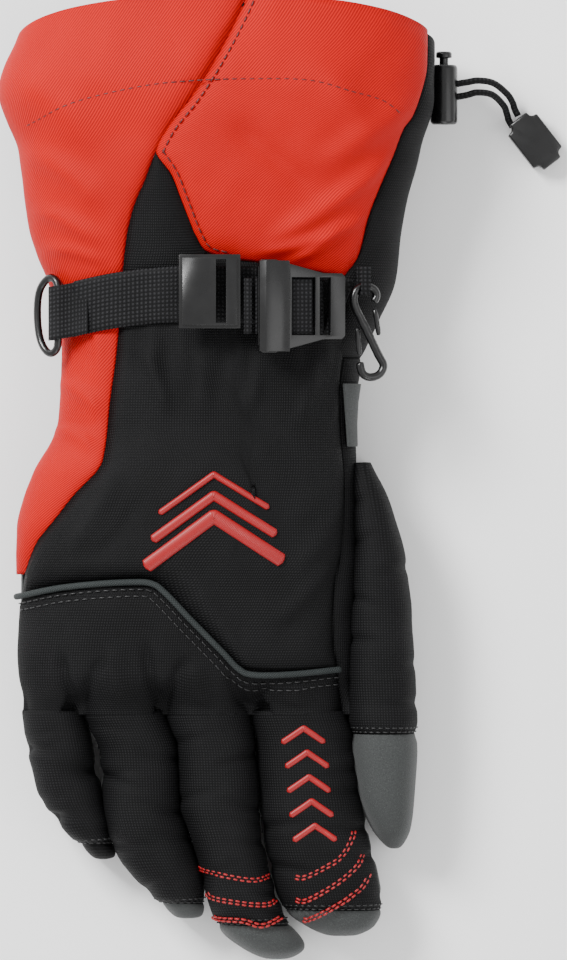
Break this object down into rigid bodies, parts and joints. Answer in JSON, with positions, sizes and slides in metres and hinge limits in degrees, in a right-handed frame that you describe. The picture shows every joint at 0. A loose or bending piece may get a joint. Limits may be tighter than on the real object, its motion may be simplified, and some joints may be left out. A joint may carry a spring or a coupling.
{
  "type": "ski glove",
  "caption": "Insulated gauntlet ski glove for the right hand, with a wrist strap and buckle, a clip, and a hem drawcord with its lock.",
  "frame": {"origin": "middle of the footprint, on the surface the palm rests on, measured without the free drawcord strands and their end", "axes": "+Z out of the back of the hand, -Y along the fingers, +X towards the thumb"},
  "size_m": [0.2029, 0.3456, 0.0649],
  "materials": {
    "black_fabric": "coarse woven black shell fabric",
    "red_fabric": "fine diagonal twill, red",
    "grey_leather": "charcoal nubuck with a fine sparkle",
    "piping": "grey corded welt",
    "webbing": "ribbed black webbing",
    "plastic": "satin black moulded plastic",
    "lining": "brushed dark lining",
    "padding": "fibre insulation",
    "film": "breathable waterproof film",
    "steel": "spring wire"
  },
  "bodies": {
    "hand": {"gauntlet_left_panel": "red_fabric", "gauntlet_right_panel": "red_fabric", "side_gusset": "black_fabric", "gauntlet_underside": "black_fabric", "gauntlet_wedge": "black_fabric", "gauntlet_hem": "black_fabric", "hem_drawcord": "webbing", "back_panel": "black_fabric", "back_panel_lower": "black_fabric", "knuckle_panel": "black_fabric", "finger_root_panel": "black_fabric", "knuckle_piping": "piping", "palm_panel": "grey_leather", "palm_patch": "grey_leather", "insulation_sleeve": "padding", "membrane_sleeve": "film", "liner_sleeve": "lining", "wrist_strap": "webbing", "buckle_web_loop": "webbing", "hook_loop": "webbing", "wrist_tab": "grey_leather", "cord_lock_body": "plastic", "cord_lock_spring": "steel", "drawcord_strand_a": "webbing", "drawcord_strand_b": "webbing", "cord_end_base": "plastic", "cord_end_lid": "plastic"},
    "index_digit": {"index_back": "black_fabric", "index_palm": "grey_leather", "index_lining": "lining", "index_tip_patch": "grey_leather"},
    "middle_digit": {"middle_back": "black_fabric", "middle_palm": "grey_leather", "middle_lining": "lining", "middle_tip_patch": "grey_leather"},
    "ring_digit": {"ring_back": "black_fabric", "ring_palm": "grey_leather", "ring_lining": "lining", "ring_tip_patch": "grey_leather"},
    "little_digit": {"little_back": "black_fabric", "little_palm": "grey_leather", "little_lining": "lining"},
    "thumb_digit": {"thumb_back": "black_fabric", "thumb_palm": "grey_leather", "thumb_lining": "lining", "thumb_tip_patch": "grey_leather"},
    "buckle": {"ladder_lock": "plastic", "strap_bight": "webbing"},
    "strap_end": {"strap_tail": "webbing", "pull_tab": "plastic"},
    "swing_ring": {"side_ring": "plastic"},
    "hook": {"snap_hook": "plastic"},
    "hook_gate_upper": {"upper_gate": "plastic"},
    "hook_gate_lower": {"lower_gate": "plastic"},
    "plunger": {"cord_lock_plunger": "plastic"}
  },
  "joints": [
    {"name": "index_flex", "type": "hinge", "parent": "hand", "child": "index_digit", "pos_m": [0, -0.084, 0.017], "axis": [1, 0, 0], "range_deg": [0, 60]},
    {"name": "middle_flex", "type": "hinge", "parent": "hand", "child": "middle_digit", "pos_m": [0, -0.084, 0.017], "axis": [1, 0, 0], "range_deg": [0, 60]},
    {"name": "ring_flex", "type": "hinge", "parent": "hand", "child": "ring_digit", "pos_m": [0, -0.084, 0.017], "axis": [1, 0, 0], "range_deg": [0, 60]},
    {"name": "little_flex", "type": "hinge", "parent": "hand", "child": "little_digit", "pos_m": [0, -0.084, 0.017], "axis": [1, 0, 0], "range_deg": [0, 60]},
    {"name": "thumb_swing", "type": "hinge", "parent": "hand", "child": "thumb_digit", "pos_m": [0.0545, -0.012, 0.017], "axis": [0, 0, 1], "range_deg": [0, 35]},
    {"name": "buckle_tilt", "type": "hinge", "parent": "hand", "child": "buckle", "pos_m": [0.03843, 0.062, 0.05436], "axis": [0, 1, 0], "range_deg": [0, 30]},
    {"name": "strap_end_lift", "type": "hinge", "parent": "buckle", "child": "strap_end", "pos_m": [0.0086, 0.062, 0.0603], "axis": [0, 1, 0], "range_deg": [0, 60]},
    {"name": "side_ring_swing", "type": "hinge", "parent": "hand", "child": "swing_ring", "pos_m": [-0.0616, 0.059, 0.042], "axis": [0, 1, 0], "range_deg": [0, 40]},
    {"name": "hook_lift", "type": "hinge", "parent": "hand", "child": "hook", "pos_m": [0.04814, 0.0693, 0.05031], "axis": [-0.9659, 0, 0.2588], "range_deg": [0, 90]},
    {"name": "upper_gate_open", "type": "hinge", "parent": "hook", "child": "hook_gate_upper", "pos_m": [0.05355, 0.0517, 0.04886], "axis": [0.2588, 0, 0.9659], "range_deg": [0, 15], "stiffness_Nm_per_rad": 0.002, "springref_deg": -11.46},
    {"name": "lower_gate_open", "type": "hinge", "parent": "hook", "child": "hook_gate_lower", "pos_m": [0.04582, 0.0547, 0.05093], "axis": [0.2588, 0, 0.9659], "range_deg": [0, 15], "stiffness_Nm_per_rad": 0.002, "springref_deg": -11.46},
    {"name": "plunger_press", "type": "slide", "parent": "hand", "child": "plunger", "axis": [0, -1, 0], "range_m": [0, 0.0045], "stiffness_N_per_m": 300, "springref_m": -0.005}
  ]
}
